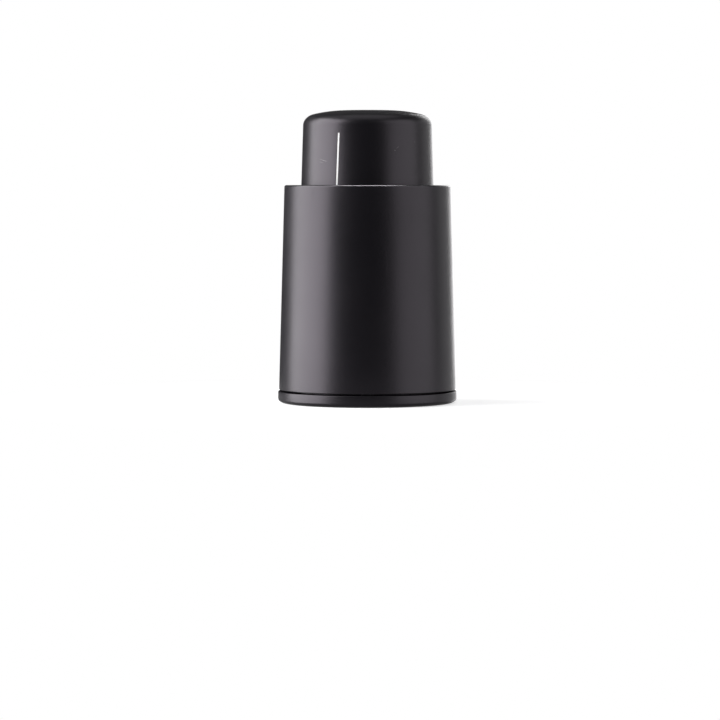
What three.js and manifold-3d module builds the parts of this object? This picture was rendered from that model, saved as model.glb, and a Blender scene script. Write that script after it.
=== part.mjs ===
// Press-to-pump vacuum bottle stopper, in millimetres, +Z up.
//
// The stopper stands on its base ring, whose underside is z = 0, and its axis is Z. The front is -Y.
// A bottle's neck enters from below, into the socket of the silicone bell. Pressing the cap drives a
// piston down a cylinder above the bell; air leaves through the piston's ports, past the exhaust
// flap, and down between sleeve and inner body to the vents in the base ring. As the spring lifts
// the cap again, the piston draws air out of the bottle through the inlet valve.
import * as THREE from 'three';
import { mergeVertices } from 'three/addons/utils/BufferGeometryUtils.js';
import Module from 'manifold-3d';

const wasm = await Module();
wasm.setup();

const degrees = THREE.MathUtils.degToRad;

// ---- Driving dimensions -------------------------------------------------------------------------

const GAP = 0.3; // between pieces that touch
const HEIGHT = 73; // table to the top of the cap
const STROKE = 14; // travel of the cap

// Base ring
const RING_RADIUS = 22.35;
const RING_HEIGHT = 3;
const RING_ROUND_WIDTH = 2.1; // lower outer edge, an elliptical round
const RING_ROUND_HEIGHT = 1.1;
const MOUTH_RADIUS = 16.4; // opening for the neck
const SPIGOT_OUTER = 19.95; // upright collar that snaps into the sleeve
const SPIGOT_INNER = 19.1;
const SPIGOT_TOP = 8;
const VENT_COUNT = 6;
const VENT_WIDTH = 3.2;

// Outer sleeve
const SHELL_BOTTOM = RING_HEIGHT + GAP;
const SHELL_TOP = 54.4;
const SHELL_TOP_RADIUS = 20.72;
const SHELL_DRAFT = Math.tan(degrees(1.56));
const SHELL_WALL = 1.8;
const SHELL_ROUND = 0.8; // upper outer edge
const COLLAR_RADIUS = 16.95; // hole in the top of the sleeve
const COLLAR_THICKNESS = 1.9;
const SNAP_HEIGHT = 6.9; // middle of the snap groove
const SNAP_DEPTH = 0.5;
const RIB_COUNT = 6;
const RIB_WIDTH = 1.6;
const RIB_INNER = 18.4;

// Press cap
const CAP_RADIUS = 16.5; // at the sleeve's top
const CAP_DRAFT = Math.tan(degrees(1.77));
const CAP_WALL = 1.6;
const CAP_FLAT = 5.5; // radius of the flat middle of the crown
const CAP_CROWN = 0.95; // height lost from the flat to the shoulder
const CAP_SHOULDER = 2.85; // height of the rounded shoulder
const CAP_SHOULDER_WIDTH = 2.6;
const CAP_SHOULDER_SWEEP = 74; // degrees of the shoulder's arc, which leaves it as steep as the crown starts
const CAP_CEILING = 70.6;
const CAP_SKIRT = 47; // lower edge of the skirt
const CAP_FLANGE_RADIUS = 18.05;
const CAP_FLANGE_THICKNESS = 1.8;
const CAP_PAD_INNER = 8.5; // ring under the ceiling that rests on the thrust washer
const CAP_PAD_OUTER = 12;
const CAP_CEILING_FILLET = 1.5;
const BEAD_RADIUS = 13.6; // snap bead that holds the spring plate in the cap
const BEAD_HEIGHT = 0.8;

// Index line on the cap
const INDEX_ANGLE = 26.7; // from the front towards -X, degrees
const INDEX_LEAN = 1.5; // of its top towards the front, degrees
const INDEX_WIDTH = 0.45;
const INDEX_DEPTH = 0.3;
const INDEX_TOP = 67.2;
const INDEX_BOTTOM = 54;
const INDEX_CLEARANCE = 0.05;

// Inner body and silicone bell
const BODY_RADIUS = 18.8;
const BODY_BORE = 17.6;
const BODY_LIP = 19.3; // rim that centres the body in the sleeve
const PLATE_BOTTOM = 25;
const PLATE_TOP = 28.2;
const PORT_RADIUS = 2.4;
const SEAT_RADIUS = 3.3;
const SEAT_TOP = 26.8;
const VALVE_POCKET_RADIUS = 6.6;
const VALVE_POCKET_FLOOR = 26.2;
const CAGE_RECESS_RADIUS = 10.8;
const CAGE_RECESS_FLOOR = 27.2;
const RING_GROOVE_INNER = 11.2;
const RING_GROOVE_OUTER = 12.8;
const RING_GROOVE_FLOOR = 26.9;
const BELL_RADIUS = 17.3;
const BELL_BORE = 16;
const SEAT_HEIGHT = 22.5; // where the bottle's mouth rests
const BELL_PORT = 3.4;
const LIP_RADII = [14.6, 14.35, 14.1]; // tips, from the bottom up
const LIP_PITCH = 5.6;
const LIP_TIP = 0.8;
const LIP_SLOPE = 1.9;

// Inlet valve
const DISC_RADIUS = 4.7;
const DISC_THICKNESS = 1;
const VALVE_LIFT = 1;
const CAGE_INNER = 5.2;
const CAGE_OUTER = 6.3;
const CAGE_TOP = 30.4;
const CAGE_FLANGE = 10.5;
const CAGE_HOLE_RADIUS = 1.2;
const CAGE_HOLE_CIRCLE = 3.4;
const CAGE_HOLES = 4;

// Pump cylinder
const CYLINDER_BOTTOM = PLATE_TOP + GAP;
const CYLINDER_TOP = 51.3;
const CYLINDER_BORE = 10;
const CYLINDER_RADIUS = 11.3;
const CYLINDER_FLANGE = 17.5;
const CYLINDER_FLANGE_THICKNESS = 2;
const SCREW_COUNT = 3;
const SCREW_CIRCLE = 15.3;
const SCREW_RADIUS = 0.95;
const SCREW_CLEARANCE = 0.2;
const SCREW_TIP = 26;
const SCREW_HEAD_RADIUS = 1.75;
const SCREW_HEAD_HEIGHT = 1.2;

// Piston
const PISTON_RADIUS = 9.5;
const PISTON_BOTTOM = CAGE_TOP + STROKE + 1; // clears the valve cage at the end of the stroke
const PISTON_TOP = 49;
const PISTON_POCKET_RADIUS = 4.4;
const PISTON_POCKET_DEPTH = 1.8;
const PISTON_HUB_RADIUS = 2.9;
const PISTON_HUB_TOP = 51.2;
const PISTON_SCREW_HOLE = 1.6;
const PISTON_SCREW_RADIUS = 1.3;
const PISTON_SCREW_LENGTH = 12;
const PISTON_SCREW_HEAD = 2.7;
const SCREW_WASHER_RADIUS = 3.8;
const SCREW_WASHER_THICKNESS = 0.5;
const CUP_GROOVE_RADIUS = 8;
const CUP_GROOVE_BOTTOM = 46;
const CUP_GROOVE_TOP = 48.2;
const CUP_LIP_RADIUS = 9.85;
const EXHAUST_PORTS = 6;
const EXHAUST_PORT_RADIUS = 0.9;
const EXHAUST_PORT_CIRCLE = 5.9;
const FLAP_RADIUS = 7.4;
const FLAP_BORE = 3.3;
const FLAP_THICKNESS = 0.8;

// Rod, spring plate and spring
const ROD_RADIUS = 3.6;
const ROD_BOTTOM = PISTON_HUB_TOP + GAP;
const ROD_FOOT_RADIUS = 7.6;
const ROD_FOOT_THICKNESS = 1.2;
const ROD_HOLE_RADIUS = 1.5;
const ROD_HOLE_TOP = 60;
const SPRING_PLATE_RADIUS = 14.1;
const SPRING_PLATE_BOTTOM = 66.8;
const SPRING_PLATE_TOP = 68.3;
const THRUST_INNER = 8;
const THRUST_OUTER = 12.5;
const THRUST_BOTTOM = SPRING_PLATE_TOP + GAP;
const THRUST_TOP = THRUST_BOTTOM + 0.7;
const PILOT_INNER = 10.5;
const PILOT_OUTER = 11.6;
const PILOT_DEPTH = 1;
const GUSSET_COUNT = 4;
const GUSSET_REACH = 9.4;
const GUSSET_HEIGHT = 8;
const GUSSET_THICKNESS = 1.4;
const WIRE_RADIUS = 0.6;
const COIL_RADIUS = 12.6;
const COIL_TURNS = 9;
const CLOSED_PITCH = 1.5; // of the first and the last turn

// Facets around the axis
const FINE = 60;
const MEDIUM = 36;
const COARSE = 16;

// ---- Colours ------------------------------------------------------------------------------------

const satinBlack = { color: 0x17171a, roughness: 0.42, metalness: 0 };
const indexWhite = { color: 0xf2f2f0, roughness: 0.5, metalness: 0 };
const blackPlastic = { color: 0x202124, roughness: 0.55, metalness: 0 };
const milkyPlastic = { color: 0xdedcd4, roughness: 0.45, metalness: 0 };
const greySilicone = { color: 0x55585c, roughness: 0.7, metalness: 0 };
const clearSilicone = { color: 0xc9cbc8, roughness: 0.6, metalness: 0 };
const steel = { color: 0xb9bcc0, roughness: 0.3, metalness: 1 };

// ---- Geometry helpers ---------------------------------------------------------------------------

// Body of revolution about Z. The outline is a list of [radius, height] and runs with the material
// on its left. An outline that doesn't start on the axis closes on itself.
function turned(outline, facets = MEDIUM) {
  const points = outline.map(([radius, height]) => new THREE.Vector2(radius, height));
  if (outline[0][0] > 0) {
    points.push(points[0].clone());
  }
  const geometry = new THREE.LatheGeometry(points, facets);
  geometry.rotateX(Math.PI / 2);
  return geometry;
}

// Points of a circular arc in the outline's plane, ends included; angles in degrees from +radius.
function arc(centreRadius, centreHeight, radius, from, to, steps) {
  const points = [];
  for (let i = 0; i <= steps; i += 1) {
    const angle = degrees(from + ((to - from) * i) / steps);
    points.push([centreRadius + radius * Math.cos(angle), centreHeight + radius * Math.sin(angle)]);
  }
  return points;
}

// Flat ring.
function washer(inner, outer, bottom, top, facets = MEDIUM) {
  return turned([[inner, bottom], [outer, bottom], [outer, top], [inner, top]], facets);
}

// Upright cylinder at (x, y).
function post(radius, bottom, top, x, y, facets = COARSE) {
  const geometry = new THREE.CylinderGeometry(radius, radius, top - bottom, facets);
  geometry.rotateX(Math.PI / 2);
  geometry.translate(x, y, (bottom + top) / 2);
  return geometry;
}

// Box that points outwards from the axis at an angle in degrees, from -Y towards +X.
function radialBox(inner, outer, width, bottom, top, angle) {
  const geometry = new THREE.BoxGeometry(width, outer - inner, top - bottom);
  geometry.translate(0, -(inner + outer) / 2, (bottom + top) / 2);
  geometry.rotateZ(degrees(angle));
  return geometry;
}

// Places on a circle about the axis.
function around(count, radius, startAngle = 0) {
  const places = [];
  for (let i = 0; i < count; i += 1) {
    const angle = startAngle + (360 * i) / count;
    const x = radius * Math.sin(degrees(angle));
    const y = -radius * Math.cos(degrees(angle));
    places.push({ angle, x, y });
  }
  return places;
}

// Closed solid from a geometry. Triangles that collapse to a line on the axis are dropped.
function toSolid(geometry) {
  const bare = geometry.clone();
  bare.deleteAttribute('normal');
  bare.deleteAttribute('uv');
  const merged = mergeVertices(bare, 1e-4);
  const index = merged.index.array;
  const kept = [];
  for (let i = 0; i < index.length; i += 3) {
    const [a, b, c] = [index[i], index[i + 1], index[i + 2]];
    if (a !== b && b !== c && c !== a) {
      kept.push(a, b, c);
    }
  }
  const vertProperties = new Float32Array(merged.attributes.position.array);
  const triVerts = new Uint32Array(kept);
  return new wasm.Manifold(new wasm.Mesh({ numProp: 3, vertProperties, triVerts }));
}

function toGeometry(solid) {
  const mesh = solid.getMesh();
  const geometry = new THREE.BufferGeometry();
  geometry.setAttribute('position', new THREE.BufferAttribute(mesh.vertProperties, 3));
  geometry.setIndex(new THREE.BufferAttribute(mesh.triVerts, 1));
  geometry.computeVertexNormals();
  return geometry;
}

// One geometry joined with and cut by others.
function shaped(base, joined, cut) {
  let solid = toSolid(base);
  for (const piece of joined) {
    solid = solid.add(toSolid(piece));
  }
  for (const piece of cut) {
    solid = solid.subtract(toSolid(piece));
  }
  return toGeometry(solid);
}

// ---- Visible pieces -----------------------------------------------------------------------------

const shellRadius = (z) => SHELL_TOP_RADIUS + (SHELL_TOP - z) * SHELL_DRAFT;
const shellBore = (z) => shellRadius(z) - SHELL_WALL;
const capRadius = (z) => CAP_RADIUS + (SHELL_TOP - z) * CAP_DRAFT;
const capBore = (z) => capRadius(z) - CAP_WALL;

// Drafted sleeve. Its collar stops the cap's flange, and its ribs hold the inner body down.
function outerShell() {
  const edge = 0.25;
  const collarBottom = SHELL_TOP - COLLAR_THICKNESS;
  const roundCentre = shellRadius(SHELL_TOP - SHELL_ROUND) - SHELL_ROUND;
  const grooveBottom = SNAP_HEIGHT - 0.9;
  const grooveTop = SNAP_HEIGHT + 0.9;
  const grooveRadius = shellBore(SNAP_HEIGHT) + SNAP_DEPTH;
  const sleeve = turned([
    [shellBore(SHELL_BOTTOM), SHELL_BOTTOM],
    [shellRadius(SHELL_BOTTOM) - edge, SHELL_BOTTOM],
    [shellRadius(SHELL_BOTTOM + edge), SHELL_BOTTOM + edge],
    ...arc(roundCentre, SHELL_TOP - SHELL_ROUND, SHELL_ROUND, 0, 90, 3),
    [COLLAR_RADIUS + edge, SHELL_TOP],
    [COLLAR_RADIUS, SHELL_TOP - edge],
    [COLLAR_RADIUS, collarBottom],
    [shellBore(collarBottom), collarBottom],
    [shellBore(grooveTop), grooveTop],
    [grooveRadius, grooveTop - 0.3],
    [grooveRadius, grooveBottom + 0.3],
    [shellBore(grooveBottom), grooveBottom],
  ], FINE);
  const ribBottom = PLATE_TOP + GAP;
  const ribOuter = shellBore(ribBottom) + 0.3;
  const ribs = around(RIB_COUNT, RIB_INNER, 30).map(({ angle }) =>
    radialBox(RIB_INNER, ribOuter, RIB_WIDTH, ribBottom, collarBottom + 0.2, angle));
  return shaped(sleeve, ribs, []);
}

// Trim ring that closes the foot: a neck opening with a lead-in, a snap spigot and air vents.
function baseRing() {
  const edge = 0.25;
  const bead = 0.45;
  const round = arc(0, 0, 1, -90, 0, 4).map(([across, up]) => [
    RING_RADIUS - RING_ROUND_WIDTH * (1 - across),
    RING_ROUND_HEIGHT * (1 + up),
  ]);
  const ring = turned([
    [MOUTH_RADIUS, 1.8],
    [MOUTH_RADIUS + 1.2, 0.5],
    [MOUTH_RADIUS + 1.4, 0],
    ...round,
    [RING_RADIUS, RING_HEIGHT - edge],
    [RING_RADIUS - edge, RING_HEIGHT],
    [SPIGOT_OUTER, RING_HEIGHT],
    [SPIGOT_OUTER, SNAP_HEIGHT - 0.6],
    [SPIGOT_OUTER + bead, SNAP_HEIGHT - 0.2],
    [SPIGOT_OUTER, SNAP_HEIGHT + 0.6],
    [SPIGOT_OUTER, SPIGOT_TOP],
    [SPIGOT_INNER, SPIGOT_TOP],
    [SPIGOT_INNER, RING_HEIGHT],
    [MOUTH_RADIUS, RING_HEIGHT],
  ], FINE);
  const vents = around(VENT_COUNT, SPIGOT_INNER).map(({ angle }) =>
    radialBox(SPIGOT_INNER - 0.4, SPIGOT_OUTER + 0.6, VENT_WIDTH, -1, SPIGOT_TOP + 1, angle));
  return shaped(ring, [], vents);
}

// Outline of the cap's outside, from the skirt's flange up to the middle of the top.
function capOutside() {
  const flangeTop = SHELL_TOP - COLLAR_THICKNESS - GAP;
  const flangeBottom = flangeTop - CAP_FLANGE_THICKNESS;
  const shoulderBottom = HEIGHT - CAP_CROWN - CAP_SHOULDER;
  const shoulderRadius = capRadius(shoulderBottom);
  const sweep = degrees(CAP_SHOULDER_SWEEP);
  const shoulder = arc(0, 0, 1, 0, CAP_SHOULDER_SWEEP, 5).slice(1).map(([across, up]) => [
    shoulderRadius - CAP_SHOULDER_WIDTH * (1 - across) / (1 - Math.cos(sweep)),
    shoulderBottom + CAP_SHOULDER * up / Math.sin(sweep),
  ]);
  const crownRadius = shoulderRadius - CAP_SHOULDER_WIDTH;
  const crown = [0.25, 0.5, 0.75].map((share) => [
    crownRadius + (CAP_FLAT - crownRadius) * share,
    HEIGHT - CAP_CROWN * (1 - share) ** 2,
  ]);
  return [
    [capRadius(CAP_SKIRT), CAP_SKIRT],
    [capRadius(flangeBottom), flangeBottom],
    [CAP_FLANGE_RADIUS, flangeBottom],
    [CAP_FLANGE_RADIUS, flangeTop],
    [capRadius(flangeTop), flangeTop],
    [shoulderRadius, shoulderBottom],
    ...shoulder,
    ...crown,
    [CAP_FLAT, HEIGHT],
    [0, HEIGHT],
  ];
}

// Strip along the cap's side, sunk by depth, used for the index line and for its groove.
function indexStrip(width, depth, bottom, top, standOff) {
  const height = top - bottom;
  const middle = (top + bottom) / 2;
  const geometry = new THREE.BoxGeometry(width, depth, height);
  geometry.translate(0, depth / 2 - standOff, 0);
  geometry.rotateY(degrees(INDEX_LEAN));
  geometry.rotateX(-Math.atan(CAP_DRAFT));
  geometry.translate(0, -capRadius(middle), middle);
  geometry.rotateZ(-degrees(INDEX_ANGLE));
  return geometry;
}

// Hollow press cap with a snap bead for the spring plate and a flange that stays under the collar.
function pressCap() {
  const padBottom = THRUST_TOP + GAP;
  const beadTop = SPRING_PLATE_BOTTOM - GAP;
  const beadBottom = beadTop - BEAD_HEIGHT;
  const wallTop = CAP_CEILING - CAP_CEILING_FILLET;
  const cap = turned([
    [0, CAP_CEILING],
    [CAP_PAD_INNER, CAP_CEILING],
    [CAP_PAD_INNER, padBottom],
    [CAP_PAD_OUTER, padBottom],
    [CAP_PAD_OUTER, CAP_CEILING],
    [capBore(wallTop) - CAP_CEILING_FILLET, CAP_CEILING],
    [capBore(wallTop), wallTop],
    [capBore(beadTop), beadTop],
    [BEAD_RADIUS, beadTop - 0.2],
    [BEAD_RADIUS, beadBottom],
    [capBore(beadBottom - 1), beadBottom - 1],
    [capBore(CAP_SKIRT), CAP_SKIRT],
    ...capOutside(),
  ], FINE);
  const clearance = INDEX_CLEARANCE;
  const groove = indexStrip(INDEX_WIDTH + 2 * clearance, INDEX_DEPTH + 0.5 + clearance,
    INDEX_BOTTOM - clearance, INDEX_TOP + clearance, 0.5);
  return shaped(cap, [], [groove]);
}

// White line let into the cap's side.
function indexInlay() {
  return indexStrip(INDEX_WIDTH, INDEX_DEPTH - 0.03, INDEX_BOTTOM, INDEX_TOP, -0.03);
}

// ---- Socket for the bottle ----------------------------------------------------------------------

// Silicone bell: three lips grip the mouth, and the mouth's rim rests under the shoulder.
function neckSeal() {
  const bottom = RING_HEIGHT + GAP;
  const top = PLATE_BOTTOM - GAP;
  const lips = LIP_RADII.flatMap((tip, i) => {
    const root = bottom + 1.6 + i * LIP_PITCH;
    return [
      [tip, root + LIP_SLOPE],
      [tip, root + LIP_SLOPE + LIP_TIP],
      [BELL_BORE, root + LIP_SLOPE + 2 * LIP_TIP],
      [BELL_BORE, root + LIP_PITCH],
    ];
  });
  lips.pop();
  return turned([
    [BELL_RADIUS, bottom],
    [BELL_RADIUS, top],
    [BELL_PORT, top],
    [BELL_PORT, SEAT_HEIGHT],
    [BELL_BORE - 0.8, SEAT_HEIGHT],
    [BELL_BORE, SEAT_HEIGHT - 1.2],
    ...lips.reverse(),
    [BELL_BORE, bottom],
  ], MEDIUM);
}

// Inverted cup that holds the bell; its top plate carries the suction port and the cylinder.
function innerBody() {
  const cup = turned([
    [PORT_RADIUS, PLATE_BOTTOM],
    [BODY_BORE, PLATE_BOTTOM],
    [BODY_BORE, RING_HEIGHT + GAP],
    [BODY_RADIUS, RING_HEIGHT + GAP],
    [BODY_RADIUS, PLATE_BOTTOM + 0.2],
    [BODY_LIP, PLATE_BOTTOM + 0.7],
    [BODY_LIP, PLATE_TOP],
    [RING_GROOVE_OUTER, PLATE_TOP],
    [RING_GROOVE_OUTER, RING_GROOVE_FLOOR],
    [RING_GROOVE_INNER, RING_GROOVE_FLOOR],
    [RING_GROOVE_INNER, PLATE_TOP],
    [CAGE_RECESS_RADIUS, PLATE_TOP],
    [CAGE_RECESS_RADIUS, CAGE_RECESS_FLOOR],
    [VALVE_POCKET_RADIUS, CAGE_RECESS_FLOOR],
    [VALVE_POCKET_RADIUS, VALVE_POCKET_FLOOR],
    [SEAT_RADIUS, VALVE_POCKET_FLOOR],
    [SEAT_RADIUS, SEAT_TOP],
    [PORT_RADIUS, SEAT_TOP],
  ], MEDIUM);
  const holes = around(SCREW_COUNT, SCREW_CIRCLE).map(({ x, y }) =>
    post(SCREW_RADIUS + SCREW_CLEARANCE, SCREW_TIP - 0.2, PLATE_TOP + 1, x, y));
  return shaped(cup, [], holes);
}

// ---- Inlet valve --------------------------------------------------------------------------------

// Silicone disc that rests on the port's raised seat.
function inletValveDisc() {
  const bottom = SEAT_TOP + GAP;
  const top = bottom + DISC_THICKNESS;
  const edge = 0.25;
  return turned([
    [0, bottom],
    [DISC_RADIUS - edge, bottom],
    [DISC_RADIUS, bottom + edge],
    [DISC_RADIUS, top - edge],
    [DISC_RADIUS - edge, top],
    [0, top],
  ], MEDIUM);
}

// Cage over the disc. The cylinder clamps its flange, and holes in roof and wall let air pass.
function inletValveCage() {
  const roof = SEAT_TOP + GAP + DISC_THICKNESS + VALVE_LIFT + 0.2;
  const flangeBottom = CAGE_RECESS_FLOOR + GAP;
  const cage = turned([
    [0, roof],
    [CAGE_INNER, roof],
    [CAGE_INNER, VALVE_POCKET_FLOOR + GAP],
    [CAGE_OUTER, VALVE_POCKET_FLOOR + GAP],
    [CAGE_OUTER, flangeBottom],
    [CAGE_FLANGE, flangeBottom],
    [CAGE_FLANGE, PLATE_TOP],
    [CAGE_OUTER, PLATE_TOP],
    [CAGE_OUTER, CAGE_TOP - 0.3],
    [CAGE_OUTER - 0.3, CAGE_TOP],
    [0, CAGE_TOP],
  ], MEDIUM);
  const roofHoles = around(CAGE_HOLES, CAGE_HOLE_CIRCLE, 45).map(({ x, y }) =>
    post(CAGE_HOLE_RADIUS, roof - 0.5, CAGE_TOP + 1, x, y, 12));
  const windows = around(CAGE_HOLES, CAGE_INNER).map(({ angle }) =>
    radialBox(CAGE_INNER - 0.6, CAGE_OUTER + 0.6, 2.6, PLATE_TOP + 0.2, roof - 0.1, angle));
  return shaped(cage, [], [...roofHoles, ...windows]);
}

// ---- Pump cylinder ------------------------------------------------------------------------------

function pumpCylinder() {
  const leadIn = 0.5;
  const tube = turned([
    [CYLINDER_BORE, CYLINDER_BOTTOM],
    [CYLINDER_FLANGE, CYLINDER_BOTTOM],
    [CYLINDER_FLANGE, CYLINDER_BOTTOM + CYLINDER_FLANGE_THICKNESS],
    [CYLINDER_RADIUS, CYLINDER_BOTTOM + CYLINDER_FLANGE_THICKNESS],
    [CYLINDER_RADIUS, CYLINDER_TOP],
    [CYLINDER_BORE + leadIn, CYLINDER_TOP],
    [CYLINDER_BORE, CYLINDER_TOP - 2 * leadIn],
  ], MEDIUM);
  const holes = around(SCREW_COUNT, SCREW_CIRCLE).map(({ x, y }) =>
    post(SCREW_RADIUS + SCREW_CLEARANCE, CYLINDER_BOTTOM - 1, CYLINDER_TOP, x, y));
  return shaped(tube, [], holes);
}

function cylinderRing() {
  const radius = 0.6;
  const centre = (RING_GROOVE_INNER + RING_GROOVE_OUTER) / 2;
  const height = RING_GROOVE_FLOOR + 0.15 + radius;
  return turned(arc(centre, height, radius, 0, 360, 8).slice(0, -1), MEDIUM);
}

// Pan-head screw with a cross recess, at the origin with its head's underside at z = 0.
function crossScrew(shank, length, head, headHeight, headUp = true) {
  const body = turned([
    [0, -length],
    [shank * 0.5, -length],
    [shank, -length + 1.2],
    [shank, 0],
    [head, 0],
    [head, headHeight * 0.55],
    [head * 0.75, headHeight],
    [0, headHeight],
  ], COARSE);
  const slots = [0, 90].map((angle) => {
    const slot = new THREE.BoxGeometry(head * 1.1, head * 0.28, headHeight);
    slot.rotateZ(degrees(angle + 45));
    slot.translate(0, 0, headHeight);
    return slot;
  });
  const screw = shaped(body, [], slots);
  if (!headUp) {
    screw.rotateX(Math.PI);
  }
  return screw;
}

// ---- Piston -------------------------------------------------------------------------------------

function pistonHead() {
  const pocketTop = PISTON_BOTTOM + PISTON_POCKET_DEPTH;
  const edge = 0.4;
  const head = turned([
    [PISTON_SCREW_HOLE, pocketTop],
    [PISTON_POCKET_RADIUS, pocketTop],
    [PISTON_POCKET_RADIUS, PISTON_BOTTOM],
    [PISTON_RADIUS - edge, PISTON_BOTTOM],
    [PISTON_RADIUS, PISTON_BOTTOM + edge],
    [PISTON_RADIUS, CUP_GROOVE_BOTTOM],
    [CUP_GROOVE_RADIUS, CUP_GROOVE_BOTTOM],
    [CUP_GROOVE_RADIUS, CUP_GROOVE_TOP],
    [PISTON_RADIUS, CUP_GROOVE_TOP],
    [PISTON_RADIUS, PISTON_TOP],
    [PISTON_HUB_RADIUS, PISTON_TOP],
    [PISTON_HUB_RADIUS, PISTON_HUB_TOP],
    [PISTON_SCREW_HOLE, PISTON_HUB_TOP],
  ], MEDIUM);
  const ports = around(EXHAUST_PORTS, EXHAUST_PORT_CIRCLE, 30).map(({ x, y }) =>
    post(EXHAUST_PORT_RADIUS, PISTON_BOTTOM - 1, PISTON_TOP + 1, x, y, 12));
  return shaped(head, [], ports);
}

// Lip seal, open at the top: outside air presses its lip against the bore on the suction stroke.
function pistonCupSeal() {
  const bottom = CUP_GROOVE_BOTTOM + GAP;
  const top = CUP_GROOVE_TOP - GAP;
  const inner = CUP_GROOVE_RADIUS + GAP;
  const floor = bottom + 0.7;
  return turned([
    [inner, bottom],
    [CUP_LIP_RADIUS - 0.4, bottom],
    [CUP_LIP_RADIUS, top - 0.4],
    [CUP_LIP_RADIUS, top],
    [CUP_LIP_RADIUS - 0.35, top],
    [CUP_LIP_RADIUS - 0.7, floor],
    [inner + 0.4, floor],
    [inner + 0.4, top],
    [inner, top],
  ], MEDIUM);
}

function exhaustFlap() {
  const bottom = PISTON_TOP + GAP;
  return washer(FLAP_BORE, FLAP_RADIUS, bottom, bottom + FLAP_THICKNESS);
}

// Rod with a foot above the flap, and the spring plate that the cap snaps onto.
function pistonRod() {
  const rod = turned([
    [0, ROD_HOLE_TOP],
    [ROD_HOLE_RADIUS, ROD_HOLE_TOP],
    [ROD_HOLE_RADIUS, ROD_BOTTOM],
    [ROD_FOOT_RADIUS, ROD_BOTTOM],
    [ROD_FOOT_RADIUS, ROD_BOTTOM + ROD_FOOT_THICKNESS],
    [ROD_RADIUS, ROD_BOTTOM + ROD_FOOT_THICKNESS],
    [ROD_RADIUS, SPRING_PLATE_BOTTOM],
    [PILOT_INNER, SPRING_PLATE_BOTTOM],
    [PILOT_INNER, SPRING_PLATE_BOTTOM - PILOT_DEPTH],
    [PILOT_OUTER, SPRING_PLATE_BOTTOM - PILOT_DEPTH],
    [PILOT_OUTER, SPRING_PLATE_BOTTOM],
    [SPRING_PLATE_RADIUS, SPRING_PLATE_BOTTOM],
    [SPRING_PLATE_RADIUS, SPRING_PLATE_TOP],
    [0, SPRING_PLATE_TOP],
  ], MEDIUM);
  const gussets = around(GUSSET_COUNT, ROD_RADIUS).map(({ angle }) => {
    const outline = new THREE.Shape();
    outline.moveTo(ROD_RADIUS - 0.6, SPRING_PLATE_BOTTOM + 0.5);
    outline.lineTo(ROD_RADIUS - 0.6, SPRING_PLATE_BOTTOM - GUSSET_HEIGHT);
    outline.lineTo(ROD_RADIUS, SPRING_PLATE_BOTTOM - GUSSET_HEIGHT);
    outline.lineTo(GUSSET_REACH, SPRING_PLATE_BOTTOM - 0.6);
    outline.lineTo(GUSSET_REACH, SPRING_PLATE_BOTTOM + 0.5);
    const gusset = new THREE.ExtrudeGeometry(outline, { depth: GUSSET_THICKNESS, bevelEnabled: false });
    gusset.translate(0, 0, -GUSSET_THICKNESS / 2);
    gusset.rotateX(Math.PI / 2);
    gusset.rotateZ(degrees(angle));
    return gusset;
  });
  return shaped(rod, gussets, []);
}

// ---- Spring -------------------------------------------------------------------------------------

// Centre line of the spring: closed first and last turns, open turns between them.
class CoilCurve extends THREE.Curve {
  getPoint(share, target = new THREE.Vector3()) {
    const bottom = CYLINDER_BOTTOM + CYLINDER_FLANGE_THICKNESS + GAP + WIRE_RADIUS;
    const top = SPRING_PLATE_BOTTOM - GAP - WIRE_RADIUS;
    const turn = share * COIL_TURNS;
    const openPitch = (top - bottom - 2 * CLOSED_PITCH) / (COIL_TURNS - 2);
    const openTurns = Math.min(Math.max(turn - 1, 0), COIL_TURNS - 2);
    const closedTurns = turn - openTurns;
    const angle = 2 * Math.PI * turn;
    const height = bottom + closedTurns * CLOSED_PITCH + openTurns * openPitch;
    return target.set(COIL_RADIUS * Math.cos(angle), COIL_RADIUS * Math.sin(angle), height);
  }
}

function returnSpring() {
  const sides = 6;
  const stepsPerTurn = 16;
  const section = new THREE.Shape();
  for (let i = 0; i < sides; i += 1) {
    const angle = (2 * Math.PI * i) / sides;
    const move = i === 0 ? 'moveTo' : 'lineTo';
    section[move](WIRE_RADIUS * Math.cos(angle), WIRE_RADIUS * Math.sin(angle));
  }
  return new THREE.ExtrudeGeometry(section, {
    steps: stepsPerTurn * COIL_TURNS,
    extrudePath: new CoilCurve(),
  });
}

// ---- Assembly -----------------------------------------------------------------------------------

const assembly = new THREE.Group();

function place(name, geometry, look, x = 0, y = 0, z = 0) {
  const mesh = new THREE.Mesh(geometry, new THREE.MeshStandardMaterial(look));
  mesh.name = name;
  mesh.position.set(x, y, z);
  assembly.add(mesh);
}

place('base_ring', baseRing(), satinBlack);
place('outer_shell', outerShell(), satinBlack);
place('inner_body', innerBody(), blackPlastic);
place('neck_seal', neckSeal(), greySilicone);
place('inlet_valve_disc', inletValveDisc(), clearSilicone);
place('inlet_valve_cage', inletValveCage(), milkyPlastic);
place('cylinder_o_ring', cylinderRing(), greySilicone);
place('pump_cylinder', pumpCylinder(), milkyPlastic);

const screwSeat = CYLINDER_BOTTOM + CYLINDER_FLANGE_THICKNESS + SCREW_CLEARANCE;
const bodyScrew = crossScrew(SCREW_RADIUS, screwSeat - SCREW_TIP, SCREW_HEAD_RADIUS, SCREW_HEAD_HEIGHT);
around(SCREW_COUNT, SCREW_CIRCLE).forEach(({ x, y }, i) => {
  place(`body_screw_${i + 1}`, bodyScrew, steel, x, y, screwSeat);
});

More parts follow.
